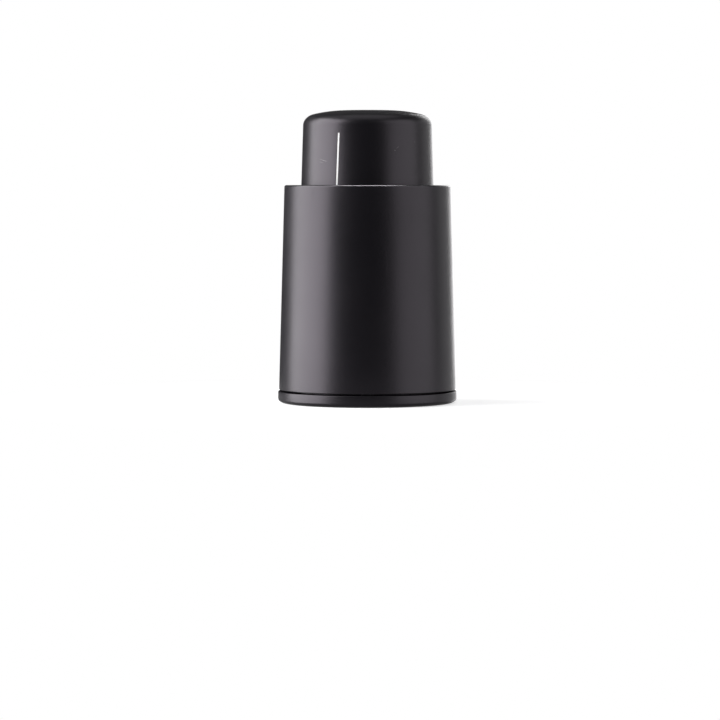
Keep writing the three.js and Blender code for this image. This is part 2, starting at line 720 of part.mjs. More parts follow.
const washerTop = PISTON_BOTTOM + PISTON_POCKET_DEPTH - GAP;
const washerBottom = washerTop - SCREW_WASHER_THICKNESS;
const screwWasher = washer(PISTON_SCREW_HOLE, SCREW_WASHER_RADIUS, washerBottom, washerTop);
const pistonScrew = crossScrew(
  PISTON_SCREW_RADIUS, PISTON_SCREW_LENGTH, PISTON_SCREW_HEAD, SCREW_HEAD_HEIGHT, false);
place('piston_head', pistonHead(), milkyPlastic);
place('piston_cup_seal', pistonCupSeal(), greySilicone);
place('exhaust_flap', exhaustFlap(), clearSilicone);
place('piston_screw_washer', screwWasher, steel);
place('piston_screw', pistonScrew, steel, 0, 0, washerBottom - SCREW_CLEARANCE);
place('piston_rod', pistonRod(), blackPlastic);
place('return_spring', returnSpring(), steel);
place('thrust_washer', washer(THRUST_INNER, THRUST_OUTER, THRUST_BOTTOM, THRUST_TOP), milkyPlastic);
place('press_cap', pressCap(), satinBlack);
place('index_inlay', indexInlay(), indexWhite);

export default assembly;
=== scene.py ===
"""Looks for the press-pump bottle stopper: turned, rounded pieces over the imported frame.

Sizes are in millimetres where a name doesn't say otherwise, and meshes are made in metres. An outline
is a list of (radius, height, rounding) that runs with the material on its left; the rounding may be
left out. Angles around the axis run from the front (-Y) towards +X.
"""
import math

import bmesh
import bpy
from mathutils import Matrix, Vector


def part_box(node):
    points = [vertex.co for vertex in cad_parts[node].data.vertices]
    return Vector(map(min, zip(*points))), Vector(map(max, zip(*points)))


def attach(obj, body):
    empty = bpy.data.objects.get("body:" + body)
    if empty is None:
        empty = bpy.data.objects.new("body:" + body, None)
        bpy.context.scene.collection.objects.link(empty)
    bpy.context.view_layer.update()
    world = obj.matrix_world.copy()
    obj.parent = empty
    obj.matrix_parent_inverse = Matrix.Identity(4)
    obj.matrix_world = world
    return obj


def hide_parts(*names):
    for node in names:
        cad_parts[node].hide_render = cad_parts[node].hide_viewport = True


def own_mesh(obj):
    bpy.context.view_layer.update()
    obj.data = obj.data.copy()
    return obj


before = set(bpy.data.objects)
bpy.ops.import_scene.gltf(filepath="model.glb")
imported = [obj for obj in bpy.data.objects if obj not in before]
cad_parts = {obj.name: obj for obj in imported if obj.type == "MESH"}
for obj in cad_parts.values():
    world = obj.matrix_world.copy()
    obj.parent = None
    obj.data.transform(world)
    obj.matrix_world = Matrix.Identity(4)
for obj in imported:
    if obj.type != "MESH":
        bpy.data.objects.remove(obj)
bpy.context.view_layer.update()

MM = 0.001
FINE = 192
MEDIUM = 96
COARSE = 48

# ---- Sizes ----------------------------------------------------------------------------------------


def low(node):
    """Lowest corner of a CAD node's box."""
    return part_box(node)[0] / MM


def high(node):
    """Highest corner of a CAD node's box."""
    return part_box(node)[1] / MM


GAP = 0.3

RING_RADIUS = high("base_ring").x
SHELL_BOTTOM = low("outer_shell").z
SHELL_TOP = high("outer_shell").z
SHELL_FOOT_RADIUS = high("outer_shell").x
SHELL_DRAFT = math.tan(math.radians(1.56))
SHELL_WALL = 1.8
SHELL_ROUND = 0.5
COLLAR_RADIUS = 16.95
COLLAR_BOTTOM = SHELL_TOP - 1.9
RING_TOP = SHELL_BOTTOM - GAP
RING_ROUND_WIDTH = 2.1
RING_ROUND_HEIGHT = 1.1
MOUTH_RADIUS = 16.4
MOUTH_LEAD_IN = 1.2
SPIGOT_INNER = 19.1
SPIGOT_OUTER = 19.95
SPIGOT_TOP = high("base_ring").z
SNAP_HEIGHT = 6.9
SNAP_DEPTH = 0.5
RIB_INNER = 18.4

CAP_TOP = high("press_cap").z
CAP_SKIRT = low("press_cap").z
CAP_FLANGE = high("press_cap").x
CAP_RADIUS = 16.5
CAP_DRAFT = math.tan(math.radians(1.77))
CAP_WALL = 1.6
CAP_CEILING = CAP_TOP - 2.4
CAP_FLANGE_THICKNESS = 1.8
CAP_PAD_INNER = 8.5
CAP_PAD_OUTER = 12
BEAD_RADIUS = 13.6
SHOULDER_BOTTOM = CAP_TOP - 3.8
SHOULDER_TOP = CAP_TOP - 0.95
SHOULDER_WIDTH = 2.6
SHOULDER_SWEEP = math.radians(74)
CROWN_FLAT = 5.5
INDEX_ANGLE = -math.radians(26.7)
INDEX_LEAN = math.tan(math.radians(1.5))
INDEX_WIDTH = 0.45
INDEX_DEPTH = 0.15

BODY_BOTTOM = low("inner_body").z
BODY_TOP = high("inner_body").z
BODY_RADIUS = 18.8
BODY_LIP = high("inner_body").x
BODY_BORE = 17.6
PLATE_BOTTOM = 25
PORT_RADIUS = 2.4
CAGE_WALL_OUTER = 6.3
CAGE_WALL_INNER = 5.2
CAGE_FLANGE_BOTTOM = 27.5
SCREW_HOLE = 1.15
SCREW_HEAD_HEIGHT = 1.2
SCREW_CIRCLE = -low("body_screw_1").y - high("body_screw_1").x
CYLINDER_BORE = 10
CYLINDER_RADIUS = 11.3
CYLINDER_FLANGE = 2
PLATE_UNDERSIDE = high("piston_rod").z - 1.5
ROD_RADIUS = 3.6
ROD_FOOT = 7.6
ROD_BORE = 1.5
SPRING_RADIUS = 12.6
SPRING_WIRE = 0.6
SPRING_TURNS = 9
PISTON_BORE = 1.6
PISTON_NECK = 2.9
PISTON_POCKET = 4.4
PISTON_GROOVE = 8
EXHAUST_PORT = 0.9
EXHAUST_PORT_CIRCLE = 5.9
FLAP_BORE = 3.3
CUP_SEAL_BORE = 8.3
CAGE_HOLE = 1.2
CAGE_HOLE_CIRCLE = 3.4
NECK_BORE = 16
NECK_LIP = 14.6
NECK_LIP_STEP = 0.25
NECK_LIP_PITCH = 5.6


def shell_radius(z):
    return SHELL_FOOT_RADIUS - (z - SHELL_BOTTOM) * SHELL_DRAFT


def shell_bore(z):
    return shell_radius(z) - SHELL_WALL


def cap_radius(z):
    return CAP_RADIUS + (SHELL_TOP - z) * CAP_DRAFT


def cap_bore(z):
    return cap_radius(z) - CAP_WALL


# ---- Outlines -------------------------------------------------------------------------------------


def rounded(outline, closed):
    """Outline points as vectors, with an arc in place of each corner that has a rounding."""
    points = []
    count = len(outline)
    for i, corner in enumerate(outline):
        here = Vector(corner[:2])
        radius = corner[2] if len(corner) > 2 else 0
        inside = closed or 0 < i < count - 1
        if radius <= 0 or not inside:
            points.append(here)
            continue
        before = (Vector(outline[i - 1][:2]) - here).normalized()
        after = (Vector(outline[(i + 1) % count][:2]) - here).normalized()
        half = before.angle(after) / 2
        reach = radius / math.tan(half)
        centre = here + (before + after).normalized() * (radius / math.sin(half))
        start = here + before * reach - centre
        end = here + after * reach - centre
        sweep = start.angle_signed(end)
        steps = max(2, round(abs(sweep) / math.radians(15)))
        for step in range(steps + 1):
            points.append(centre + Matrix.Rotation(-sweep * step / steps, 2) @ start)
    return points


def subdivided(points, longest, closed):
    """Outline points with no straight stretch longer than the given length."""
    ends = list(zip(points, points[1:]))
    if closed:
        ends.append((points[-1], points[0]))
    result = []
    for start, end in ends:
        steps = max(1, math.ceil((end - start).length / longest))
        result.extend(start.lerp(end, step / steps) for step in range(steps))
    if not closed:
        result.append(points[-1])
    return result


def circle_outline(centre_radius, centre_height, radius, sides=20):
    angles = [2 * math.pi * side / sides for side in range(sides)]
    return [(centre_radius + radius * math.cos(a), centre_height + radius * math.sin(a)) for a in angles]


# ---- Meshes ---------------------------------------------------------------------------------------


def on_circle(radius, angle, height):
    """Point in metres at an angle from the front, for sizes in millimetres."""
    return Vector((radius * math.sin(angle), -radius * math.cos(angle), height)) * MM


def add_object(name, built):
    """Object for a finished bmesh, smooth except along sharp edges."""
    mesh = bpy.data.meshes.new(name)
    built.to_mesh(mesh)
    built.free()
    piece = bpy.data.objects.new(name, mesh)
    bpy.context.scene.collection.objects.link(piece)
    smooth(piece)
    return piece


def smooth(piece, sharp_degrees=38):
    mesh = piece.data
    mesh.polygons.foreach_set("use_smooth", [True] * len(mesh.polygons))
    mesh.set_sharp_from_angle(angle=math.radians(sharp_degrees))


def turned(name, outline, facets=MEDIUM, longest=None, relief=None):
    """Body of revolution. relief(height, angle) is taken off the radius, for threads and flutes."""
    closed = outline[0][0] > 0
    points = rounded(outline, closed)
    if longest:
        points = subdivided(points, longest, closed)
    built = bmesh.new()
    rings = []
    for radius, height in points:
        if radius < 1e-6:
            rings.append([built.verts.new((0, 0, height * MM))])
            continue
        angles = [2 * math.pi * i / facets for i in range(facets)]
        depths = [relief(height, angle) if relief else 0 for angle in angles]
        ring = [built.verts.new(on_circle(radius - d, a, height)) for a, d in zip(angles, depths)]
        rings.append(ring)
    pairs = list(zip(rings, rings[1:]))
    if closed:
        pairs.append((rings[-1], rings[0]))
    for first, second in pairs:
        for i in range(facets):
            bridge(built, first, second, i, (i + 1) % facets)
    return add_object(name, built)


def bridge(built, first, second, i, j):
    """Face between two rings, either of which may be a single point."""
    corners = [
        first[i % len(first)],
        first[j % len(first)],
        second[j % len(second)],
        second[i % len(second)],
    ]
    unique = list(dict.fromkeys(corners))
    if len(unique) > 2:
        built.faces.new(unique)


def extrude(built, outline, start, end, place):
    """Closed prism over an outline of (u, v), from depth start to end. place(u, v, depth) gives metres."""
    rings = [[built.verts.new(place(u, v, depth)) for u, v in outline] for depth in (start, end)]
    count = len(outline)
    for i in range(count):
        j = (i + 1) % count
        built.faces.new((rings[0][i], rings[0][j], rings[1][j], rings[1][i]))
    built.faces.new(rings[0][::-1])
    built.faces.new(rings[1])


def upright(angle, outward=0):
    """Place for a prism along Z, whose outline is (sideways, outwards) at an angle around the axis."""
    turn = Matrix.Rotation(angle, 3, "Z")
    return lambda u, v, depth: turn @ Vector((u, -v - outward, depth)) * MM


def sideways(angle):
    """Place for a plate that stands in a plane through the axis; its outline is (outwards, height)."""
    turn = Matrix.Rotation(angle, 3, "Z")
    return lambda u, v, depth: turn @ Vector((depth, -u, v)) * MM


def rounded_box(left, right, bottom, top, radius):
    corners = [(left, bottom, radius), (right, bottom, radius), (right, top, radius), (left, top, radius)]
    return [tuple(point) for point in rounded(corners, True)]


def round_post(radius, sides=32):
    return circle_outline(0, 0, radius, sides)


def around(count, start_degrees=0):
    """Angles of repeated features around the axis."""
    return [math.radians(start_degrees) + 2 * math.pi * i / count for i in range(count)]


def combined(piece, built, operation):
    """The piece joined with (UNION) or cut by (DIFFERENCE) the closed parts of a bmesh."""
    bmesh.ops.recalc_face_normals(built, faces=built.faces)
    tool = add_object("tool", built)
    modifier = piece.modifiers.new("combine", "BOOLEAN")
    modifier.operation = operation
    modifier.solver = "EXACT"
    modifier.object = tool
    graph = bpy.context.evaluated_depsgraph_get()
    mesh = bpy.data.meshes.new_from_object(piece.evaluated_get(graph))
    piece.modifiers.clear()
    piece.data = mesh
    bpy.data.objects.remove(tool)
    smooth(piece)
    return piece


def finish_piece(piece, body, node, material):
    """Puts a finished piece on its body, in place of a CAD node and its material."""
    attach(piece, body)
    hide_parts(node)
    piece.data.materials.clear()
    piece.data.materials.append(material)
    return piece


# ---- Materials ------------------------------------------------------------------------------------


class Look:
    """Principled material with helpers for procedural detail in object space, in metres."""

    def __init__(self, name, **constants):
        self.material = bpy.data.materials.new(name)
        self.material.use_nodes = True
        self.tree = self.material.node_tree
        self.shader = self.tree.nodes["Principled BSDF"]
        for key, value in constants.items():
            self.shader.inputs[key.replace("_", " ")].default_value = value
        self.place = self.node("ShaderNodeTexCoord").outputs["Object"]

    def node(self, kind, **values):
        made = self.tree.nodes.new(kind)
        for key, value in values.items():
            if key in made.inputs:
                made.inputs[key].default_value = value
            else:
                setattr(made, key, value)
        return made

    def link(self, output, entry):
        self.tree.links.new(output, entry)

    def mapped(self, scale=(1, 1, 1), location=(0, 0, 0), rotation=(0, 0, 0), kind="POINT"):
        mapping = self.node("ShaderNodeMapping", vector_type=kind)
        mapping.inputs["Scale"].default_value = scale
        mapping.inputs["Location"].default_value = location
        mapping.inputs["Rotation"].default_value = rotation
        self.link(self.place, mapping.inputs["Vector"])
        return mapping.outputs["Vector"]

    def noise(self, feature, detail=3.0, place=None, roughness=0.5):
        """Noise from 0 to 1 whose features are about the given size."""
        made = self.node("ShaderNodeTexNoise", Scale=1 / (feature * MM), Detail=detail, Roughness=roughness)
        self.link(place or self.place, made.inputs["Vector"])
        return made.outputs["Fac"]

    def height(self):
        """Height above the table, in metres."""
        split = self.node("ShaderNodeSeparateXYZ")
        self.link(self.place, split.inputs["Vector"])
        return split.outputs["Z"]

    def ramp(self, factor, from_low, from_high, to_low, to_high):
        made = self.node("ShaderNodeMapRange")
        for key, value in {
            "From Min": from_low,
            "From Max": from_high,
            "To Min": to_low,
            "To Max": to_high,
        }.items():
            made.inputs[key].default_value = value
        self.link(factor, made.inputs["Value"])
        return made.outputs["Result"]

    def band(self, start, end):
        """0 below one height and 1 above the other."""
        return self.ramp(self.height(), start * MM, end * MM, 0, 1)

    def maths(self, operation, first, second):
        made = self.node("ShaderNodeMath", operation=operation)
        for entry, value in zip(made.inputs, (first, second)):
            if isinstance(value, (int, float)):
                entry.default_value = value
            else:
                self.link(value, entry)
        return made.outputs[0]

    def colours(self, factor, first, second):
        """Mix of two colours; either may be a colour output."""
        made = self.node("ShaderNodeMix", data_type="RGBA")
        self.link(factor, made.inputs[0])
        for entry, value in ((made.inputs[6], first), (made.inputs[7], second)):
            if isinstance(value, tuple):
                entry.default_value = (*value, 1)
            else:
                self.link(value, entry)
        return made.outputs[2]

    def bump(self, height, depth, below=None):
        """Bump of the given depth in millimetres, on top of another one if given."""
        made = self.node("ShaderNodeBump", Distance=depth * MM)
        self.link(height, made.inputs["Height"])
        if below is not None:
            self.link(below, made.inputs["Normal"])
        return made.outputs["Normal"]

    def mark(self, angle, height, radius, lean, length, width):
        """Mask for one fine scratch: 1 along its middle and 0 outside a long thin ellipsoid."""
        place = self.mapped(
            scale=(length * MM, 1.5 * MM, width * MM),
            location=on_circle(radius, angle, height),
            rotation=(0, lean, angle),
            kind="TEXTURE",
        )
        distance = self.node("ShaderNodeVectorMath", operation="LENGTH")
        self.link(place, distance.inputs[0])
        return self.ramp(distance.outputs["Value"], 0.5, 1, 1, 0)

    def set(self, entry, output):
        self.link(output, self.shader.inputs[entry])


def satin_black(name, roughness, grain, edge_heights, polish):
    """Black moulded plastic with spark-eroded grain, faint flow waves, and edges rubbed smoother.

    Gives the look and its outputs for colour and roughness, which are still to be set.
    """
    look = Look(name, IOR=1.5, Specular_Tint=(0.98, 0.89, 1.0, 1))
    mottle = look.noise(9, detail=4)
    plain = look.colours(mottle, (0.0022, 0.0021, 0.0032), (0.0040, 0.0037, 0.0054))
    # Lighter, smoother band above the given heights: partly rubbed wear, partly a painted highlight that
    # brightens the sleeve's rim edge.
    wear_and_painted_highlight = look.maths("MULTIPLY", look.band(*edge_heights), look.ramp(look.noise(3), 0.35, 0.6, 0.5, 1))
    colour = look.colours(wear_and_painted_highlight, plain, (0.016, 0.0155, 0.017))
    patches = look.noise(14, detail=5, roughness=0.6)
    smudge = look.ramp(patches, 0.3, 0.7, roughness - 0.02, roughness + 0.03)
    rubbed = look.maths("SUBTRACT", smudge, look.maths("MULTIPLY", wear_and_painted_highlight, polish))
    hair = look.noise(1.1, detail=2, place=look.mapped(scale=(1, 1, 0.05)))
    rubbed = look.maths("ADD", rubbed, look.ramp(hair, 0.70, 0.74, 0, 0.06))
    wave = look.bump(look.noise(7, detail=1), 0.003)
    look.set("Normal", look.bump(look.noise(grain, detail=2, roughness=0.6), 0.011, below=wave))
    return look, colour, rubbed


def shell_satin():
    """The sleeve's and the ring's satin, rubbed smoother along the rim and lighter there: partly wear,
    partly a painted highlight along the rim's edge.
    """
    edge = (SHELL_TOP - 0.5, SHELL_TOP - 0.3)
    look, colour, rubbed = satin_black("shell_satin", 0.35, 0.16, edge, 0.18)
    look.set("Base Color", colour)
    look.set("Roughness", rubbed)
    return look.material


def cap_satin():
    """The cap's satin, with the few fine scratches that handling leaves."""
    look, colour, rubbed = satin_black("cap_satin", 0.345, 0.14, (SHOULDER_BOTTOM, CAP_TOP), 0.05)
    scratches = [
        # angle, height, lean (degrees), length and width (mm)
        (-42.0, 60.5, 14, 1.7, 0.07),
        (-44.0, 60.0, 12, 0.9, 0.06),
        (-62.0, 57.8, 50, 0.9, 0.08),
        (27.0, 63.6, -40, 0.55, 0.07),
        (24.5, 62.9, 20, 0.3, 0.09),
        (46.0, 65.0, 70, 0.25, 0.10),
        (118.0, 60.0, 25, 1.6, 0.06),
        (165.0, 64.0, -15, 1.1, 0.06),
    ]
    marks = None
    for angle, height, lean, length, width in scratches:
        mark = look.mark(math.radians(angle), height, cap_radius(height), math.radians(lean), length, width)
        marks = mark if marks is None else look.maths("MAXIMUM", marks, mark)
    faint = look.maths("MULTIPLY", marks, look.ramp(look.noise(0.5), 0.4, 0.6, 0.2, 0.8))
    look.set("Base Color", look.colours(faint, colour, (0.17, 0.165, 0.17)))
    look.set("Roughness", look.maths("ADD", rubbed, look.maths("MULTIPLY", faint, 0.2)))
    return look.material


def index_paint():
    """Matt white paint, a little uneven."""
    look = Look("index_paint", IOR=1.45)
    look.set("Base Color", look.colours(look.noise(0.5), (0.84, 0.84, 0.83), (0.93, 0.93, 0.92)))
    look.set("Roughness", look.ramp(look.noise(0.25), 0.3, 0.7, 0.4, 0.55))
    look.set("Normal", look.bump(look.noise(0.2), 0.006))
    return look.material


def moulded_black():
    """Plain black nylon: softer gloss, weld-line streaks along the flow and a fine orange peel."""
    look = Look("moulded_black", IOR=1.5)
    streak = look.noise(5, detail=4, place=look.mapped(scale=(1, 1, 0.25)))
    look.set("Base Color", look.colours(streak, (0.013, 0.013, 0.014), (0.026, 0.026, 0.028)))
    look.set("Roughness", look.ramp(streak, 0.3, 0.7, 0.42, 0.55))
    peel = look.bump(look.noise(1.2, detail=2), 0.012)
    look.set("Normal", look.bump(look.noise(0.2), 0.006, below=peel))
    return look.material


def milky_acetal():
    """Natural acetal: slightly translucent, waxy, a little uneven in tone."""
    look = Look("milky_acetal", IOR=1.48, Subsurface_Weight=0.3, Subsurface_Scale=1.2 * MM)
    cloud = look.noise(6, detail=4)
    look.set("Base Color", look.colours(cloud, (0.66, 0.645, 0.58), (0.77, 0.755, 0.70)))
    look.set("Roughness", look.ramp(look.noise(2.5, detail=4), 0.3, 0.7, 0.3, 0.42))
    look.set("Normal", look.bump(look.noise(0.9, detail=3), 0.008))
    return look.material


def rubber(name, dark, pale, roughness, **constants):
    """Moulded silicone: matt, with fine dust that it picks up and a soft, uneven surface."""
    look = Look(name, IOR=1.42, Sheen_Weight=0.12, Sheen_Roughness=0.5, **constants)
    tone = look.colours(look.noise(4, detail=4), dark, pale)
    dust = look.ramp(look.noise(0.35, detail=1), 0.72, 0.76, 0, 0.35)
    look.set("Base Color", look.colours(dust, tone, (0.62, 0.61, 0.59)))
    look.set("Roughness", look.ramp(look.noise(2, detail=3), 0.3, 0.7, roughness - 0.06, roughness + 0.08))
    soft = look.bump(look.noise(2.2, detail=2), 0.02)
    look.set("Normal", look.bump(look.noise(0.18), 0.006, below=soft))
    return look.material


def steel(name, roughness, streak_scale):
    """Bright stainless steel with drawing or turning lines along one direction."""
    look = Look(name, Metallic=1.0)
    line = look.noise(0.5, detail=4, place=look.mapped(scale=streak_scale))
    look.set("Base Color", look.colours(line, (0.52, 0.53, 0.55), (0.70, 0.71, 0.73)))
    look.set("Roughness", look.ramp(line, 0.3, 0.7, roughness - 0.06, roughness + 0.08))
    look.set("Normal", look.bump(line, 0.004))
    return look.material


# ---- Sleeve and base ring -------------------------------------------------------------------------


def make_shell(material):
    """Drafted sleeve with its collar, snap groove and six ribs that hold the inner body down."""
    outline = [
        (shell_bore(SHELL_BOTTOM), SHELL_BOTTOM, 0.3),
        (shell_radius(SHELL_BOTTOM), SHELL_BOTTOM, 0.3),
        (shell_radius(SHELL_TOP), SHELL_TOP, SHELL_ROUND),
        (COLLAR_RADIUS, SHELL_TOP, 0.3),
        (COLLAR_RADIUS, COLLAR_BOTTOM, 0.2),
        (shell_bore(COLLAR_BOTTOM), COLLAR_BOTTOM, 0.4),
        (shell_bore(SNAP_HEIGHT + 0.9), SNAP_HEIGHT + 0.9),
        (shell_bore(SNAP_HEIGHT) + SNAP_DEPTH, SNAP_HEIGHT + 0.6, 0.1),
        (shell_bore(SNAP_HEIGHT) + SNAP_DEPTH, SNAP_HEIGHT - 0.6, 0.1),
        (shell_bore(SNAP_HEIGHT - 0.9), SNAP_HEIGHT - 0.9),
    ]
    shell = turned("shell_sleeve", outline, FINE, longest=8)
    rib_bottom = BODY_TOP + GAP
    ribs = bmesh.new()
    for angle in around(6, 30):
        section = rounded_box(-0.8, 0.8, RIB_INNER, shell_bore(rib_bottom) + 0.3, 0.25)
        extrude(ribs, section, rib_bottom, COLLAR_BOTTOM + 0.2, upright(angle))
    combined(shell, ribs, "UNION")
    return finish_piece(shell, "housing", "outer_shell", material)


def make_ring(material):
    """Trim ring with a lead-in for the neck, a snap spigot and six vents through its underside."""
    outline = [
        (MOUTH_RADIUS, 1.8, 0.4),
        (MOUTH_RADIUS + MOUTH_LEAD_IN, 0.45, 0.4),
        (MOUTH_RADIUS + MOUTH_LEAD_IN + 0.2, 0, 0.1),
        (RING_RADIUS - RING_ROUND_WIDTH, 0),
        *lower_round(),
        (RING_RADIUS, RING_TOP, 0.25),
        (SPIGOT_OUTER, RING_TOP, 0.1),
        (SPIGOT_OUTER, SNAP_HEIGHT - 0.6),
        (SPIGOT_OUTER + SNAP_DEPTH - 0.05, SNAP_HEIGHT - 0.2, 0.1),
        (SPIGOT_OUTER, SNAP_HEIGHT + 0.6),
        (SPIGOT_OUTER, SPIGOT_TOP, 0.2),
        (SPIGOT_INNER, SPIGOT_TOP, 0.2),
        (SPIGOT_INNER, RING_TOP, 0.2),
        (MOUTH_RADIUS, RING_TOP, 0.15),
    ]
    ring = turned("foot_ring", outline, FINE)
    vents = bmesh.new()
    for angle in around(6):
        section = rounded_box(-1.6, 1.6, SPIGOT_INNER - 0.4, SPIGOT_OUTER + 0.6, 0.5)
        extrude(vents, section, -1, SPIGOT_TOP + 1, upright(angle))
    combined(ring, vents, "DIFFERENCE")
    return finish_piece(ring, "housing", "base_ring", material)


def lower_round(steps=8):
    """Elliptical round from the ring's underside up to its side, without its first point."""
    for step in range(1, steps + 1):
        angle = math.pi / 2 * step / steps
        inset = RING_ROUND_WIDTH * (1 - math.sin(angle))
        yield RING_RADIUS - inset, RING_ROUND_HEIGHT * (1 - math.cos(angle))


# ---- Press cap ------------------------------------------------------------------------------------


def make_cap(material):
    """Hollow cap: skirt with a flange, snap bead, pressure pad, elliptical shoulder and crowned top."""
    flange_top = COLLAR_BOTTOM - GAP
    flange_bottom = flange_top - CAP_FLANGE_THICKNESS
    pad_bottom = high("thrust_washer").z + GAP
    bead_top = PLATE_UNDERSIDE - GAP
    outline = [
        (0, CAP_CEILING),
        (CAP_PAD_INNER, CAP_CEILING, 0.3),
        (CAP_PAD_INNER, pad_bottom, 0.2),
        (CAP_PAD_OUTER, pad_bottom, 0.2),
        (CAP_PAD_OUTER, CAP_CEILING, 0.3),
        (cap_bore(CAP_CEILING - 1.5) - 1.5, CAP_CEILING, 0.4),
        (cap_bore(CAP_CEILING - 1.5), CAP_CEILING - 1.5, 0.6),
        (cap_bore(bead_top), bead_top, 0.1),
        (BEAD_RADIUS, bead_top - 0.3, 0.15),
        (BEAD_RADIUS, bead_top - 0.8, 0.15),
        (cap_bore(bead_top - 1.8), bead_top - 1.8, 0.2),
        (cap_bore(CAP_SKIRT), CAP_SKIRT, 0.3),
        (cap_radius(CAP_SKIRT), CAP_SKIRT, 0.3),
        (cap_radius(flange_bottom), flange_bottom, 0.2),
        (CAP_FLANGE, flange_bottom, 0.3),
        (CAP_FLANGE, flange_top, 0.3),
        (cap_radius(flange_top), flange_top, 0.2),
        (cap_radius(SHOULDER_BOTTOM), SHOULDER_BOTTOM),
        *shoulder(cap_radius(SHOULDER_BOTTOM)),
        *crown(cap_radius(SHOULDER_BOTTOM) - SHOULDER_WIDTH),
        (0, CAP_TOP),
    ]
    cap = turned("cap_body", outline, FINE, longest=6)
    groove = bmesh.new()
    cap_strip(groove, INDEX_WIDTH / 2, -INDEX_DEPTH - 0.01, 0.3)
    combined(cap, groove, "DIFFERENCE")
    return finish_piece(cap, "cap", "press_cap", material)


def shoulder(outer, steps=10):
    """Elliptical round above the cap's side, without its first point, that runs into the crown's slope."""
    width = SHOULDER_WIDTH / (1 - math.cos(SHOULDER_SWEEP))
    height = (SHOULDER_TOP - SHOULDER_BOTTOM) / math.sin(SHOULDER_SWEEP)
    for step in range(1, steps + 1):
        angle = SHOULDER_SWEEP * step / steps
        yield outer - width * (1 - math.cos(angle)), SHOULDER_BOTTOM + height * math.sin(angle)


def crown(outer, steps=8):
    """Shallow dome from the shoulder to the flat middle, without its first point."""
    for step in range(1, steps + 1):
        share = step / steps
        yield outer + (CROWN_FLAT - outer) * share, CAP_TOP - (CAP_TOP - SHOULDER_TOP) * (1 - share) ** 2


def cap_strip(built, half_width, inner, outer):
    """Upright strip on the cap's side, between two depths measured from its surface."""
    bottom, top = low("index_inlay").z, high("index_inlay").z
    steps = 12
    rows = []
    for step in range(steps + 1):
        z = bottom + (top - bottom) * step / steps
        middle = (z - (bottom + top) / 2) * INDEX_LEAN
        row = []
        for across, depth in ((-1, inner), (-1, outer), (1, outer), (1, inner)):
            angle = INDEX_ANGLE + (middle + across * half_width) / cap_radius(z)
            row.append(built.verts.new(on_circle(cap_radius(z) + depth, angle, z)))
        rows.append(row)
    for first, second in zip(rows, rows[1:]):
        for i in range(4):
            bridge(built, first, second, i, (i + 1) % 4)
    built.faces.new(rows[0])
    built.faces.new(rows[-1][::-1])
    bmesh.ops.recalc_face_normals(built, faces=built.faces)


def make_index_line(material):
    """White paint that fills the groove to just below the cap's surface."""
    built = bmesh.new()
    cap_strip(built, INDEX_WIDTH / 2 - 0.005, -INDEX_DEPTH, -0.03)
    line = add_object("index_line", built)
    return finish_piece(line, "cap", "index_inlay", material)


# ---- Socket for the bottle ------------------------------------------------------------------------


def make_neck_seal(material):
    """Silicone bell: three soft lips grip the mouth, whose rim rests under the shoulder."""
    bottom, top = low("neck_seal").z, high("neck_seal").z
    radius = high("neck_seal").x
    bore = NECK_BORE
    seat = top - 2.2
    opening = PORT_RADIUS + 1
    outline = [
        (radius, bottom, 0.3),
        (radius, top, 0.6),
        (opening, top, 0.3),
        (opening, seat, 0.3),
        (bore - 0.8, seat, 0.5),
        (bore, seat - 1.2, 0.4),
    ]
    for i in (2, 1, 0):
        tip = NECK_LIP - NECK_LIP_STEP * i
        root = bottom + 1.6 + NECK_LIP_PITCH * i
        outline += [
            (bore, root + 3.5, 0.5),
            (tip, root + 2.7, 0.36),
            (tip, root + 1.9, 0.36),
            (bore, root if i else bottom, 0.5 if i else 0.3),
        ]
    bell = turned("neck_seal_bell", outline, FINE)
    return finish_piece(bell, "housing", "neck_seal", material)


def make_inner_body(material):
    """Inverted cup with the suction port, valve pocket, cage recess, O-ring groove and screw holes."""
    groove_outer = high("cylinder_o_ring").x + 0.2
    groove_inner = groove_outer - 1.6
    groove_floor = low("cylinder_o_ring").z - 0.15
    recess_radius = high("inlet_valve_cage").x + GAP
    recess_floor = CAGE_FLANGE_BOTTOM - GAP
    pocket_radius = CAGE_WALL_OUTER + GAP
    pocket_floor = low("inlet_valve_cage").z - GAP
    seat_radius = PORT_RADIUS + 0.9
    seat_top = low("inlet_valve_disc").z - GAP
    outline = [
        (PORT_RADIUS, PLATE_BOTTOM, 0.3),
        (BODY_BORE, PLATE_BOTTOM, 0.5),
        (BODY_BORE, BODY_BOTTOM, 0.3),
        (BODY_RADIUS, BODY_BOTTOM, 0.3),
        (BODY_RADIUS, PLATE_BOTTOM + 0.2),
        (BODY_LIP, PLATE_BOTTOM + 0.7, 0.2),
        (BODY_LIP, BODY_TOP, 0.3),
        (groove_outer, BODY_TOP, 0.15),
        (groove_outer, groove_floor, 0.2),
        (groove_inner, groove_floor, 0.2),
        (groove_inner, BODY_TOP, 0.1),
        (recess_radius, BODY_TOP, 0.1),
        (recess_radius, recess_floor, 0.2),
        (pocket_radius, recess_floor, 0.15),
        (pocket_radius, pocket_floor, 0.15),
        (seat_radius, pocket_floor, 0.15),
        (seat_radius, seat_top, 0.2),
        (PORT_RADIUS, seat_top, 0.2),
    ]
    cup = turned("inner_cup", outline, FINE)
    holes = bmesh.new()
    for angle in around(3):
        place = upright(angle, SCREW_CIRCLE)
        extrude(holes, round_post(SCREW_HOLE), PLATE_BOTTOM + 0.8, BODY_TOP + 1, place)
    combined(cup, holes, "DIFFERENCE")
    return finish_piece(cup, "housing", "inner_body", material)


# ---- Valves and pump cylinder ---------------------------------------------------------------------


